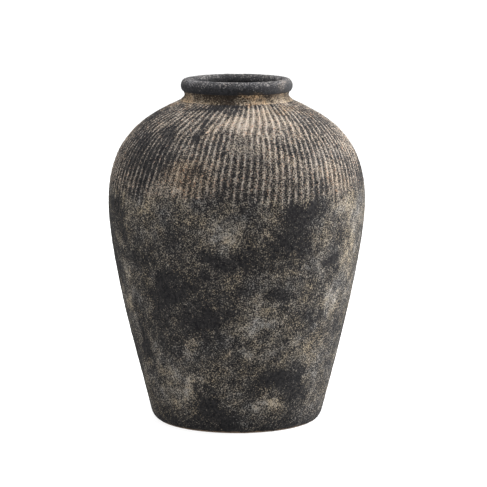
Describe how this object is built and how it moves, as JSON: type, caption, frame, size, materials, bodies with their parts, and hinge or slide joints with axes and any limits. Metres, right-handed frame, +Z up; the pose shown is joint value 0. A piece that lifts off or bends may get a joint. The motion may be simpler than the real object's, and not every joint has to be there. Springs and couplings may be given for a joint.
{
  "type": "black clay jar",
  "caption": "Large hand-built black clay jar with a wide combed shoulder, tapering body, short neck and rolled rim; the mouth is open.",
  "frame": {"origin": "centre of the flat face the jar stands on", "axes": "+Z up along the jar's axis, out of the mouth; the jar is turned about Z, so X and Y are alike, and -Y is the side that faces the viewer"},
  "size_m": [0.2998, 0.2998, 0.4],
  "materials": {
    "washed_clay": "matte, coarse, dark clay with a rubbed sandy wash",
    "combed_clay": "matte, combed, sandy wash left on the ridges",
    "ochre_clay": "matte, smoothed, ochre-brown wash",
    "smoked_clay": "matte to dull, smoke-blackened",
    "bare_clay": "matte, unwashed, reduced black clay"
  },
  "bodies": {
    "root": {"floor_slab": "washed_clay", "floor_corner_coil": "bare_clay", "foot_course": "washed_clay", "lower_wall_course": "washed_clay", "middle_wall_course": "washed_clay", "belly_course": "washed_clay", "lower_shoulder_course": "combed_clay", "upper_shoulder_course": "combed_clay", "neck_collar": "ochre_clay", "rolled_rim": "smoked_clay"}
  },
  "joints": []
}
